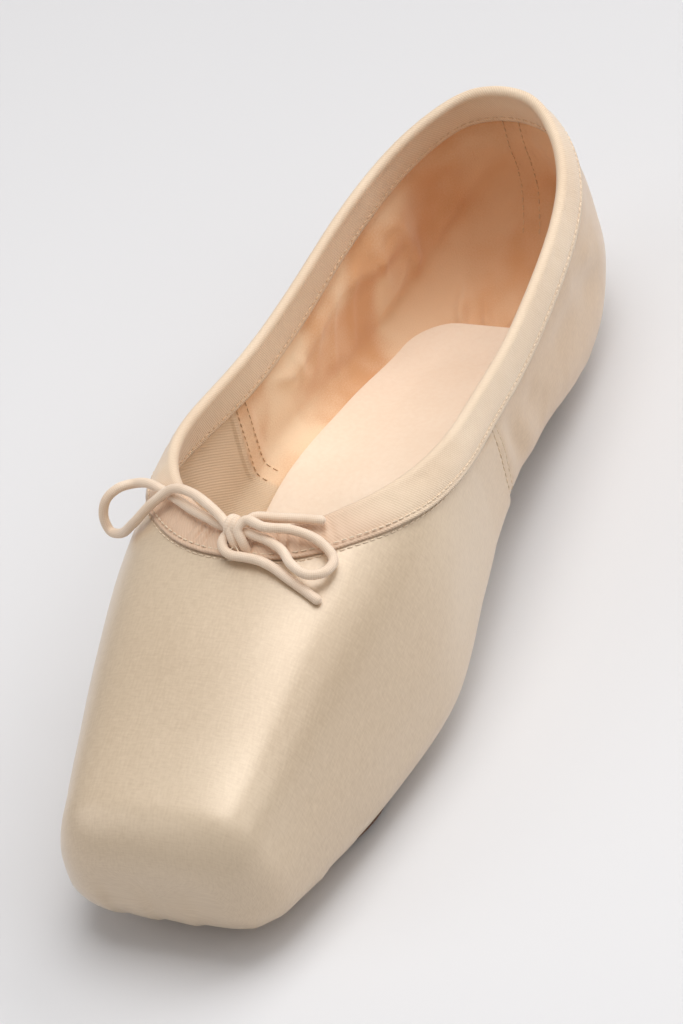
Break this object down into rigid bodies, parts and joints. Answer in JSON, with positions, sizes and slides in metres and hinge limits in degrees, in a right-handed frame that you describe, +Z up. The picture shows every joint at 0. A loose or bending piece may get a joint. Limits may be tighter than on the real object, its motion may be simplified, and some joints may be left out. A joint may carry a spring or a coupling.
{
  "type": "pointe shoe",
  "caption": "Satin pointe shoe with a stiff flat-ended toe box, low gathered collar with a drawstring bow, and a thin leather outsole.",
  "frame": {"origin": "middle of the shoe's length and width, on the floor that the outsole stands on", "axes": "+X towards the toe, +Y towards the wearer's left, +Z up"},
  "size_m": [0.235, 0.0791, 0.0642],
  "materials": {
    "satin": "soft satin sheen",
    "sole_leather": "brushed suede",
    "sock": "matt",
    "binding": "matt ribbed tape",
    "drawstring": "matt"
  },
  "bodies": {
    "root": {"upper": "satin", "outsole": "sole_leather", "insole": "sock", "collar_binding": "binding", "bow_knot": "drawstring", "bow_loop_left": "drawstring", "bow_loop_right": "drawstring", "bow_tail_upper": "drawstring", "bow_tail_lower": "drawstring"}
  },
  "joints": []
}
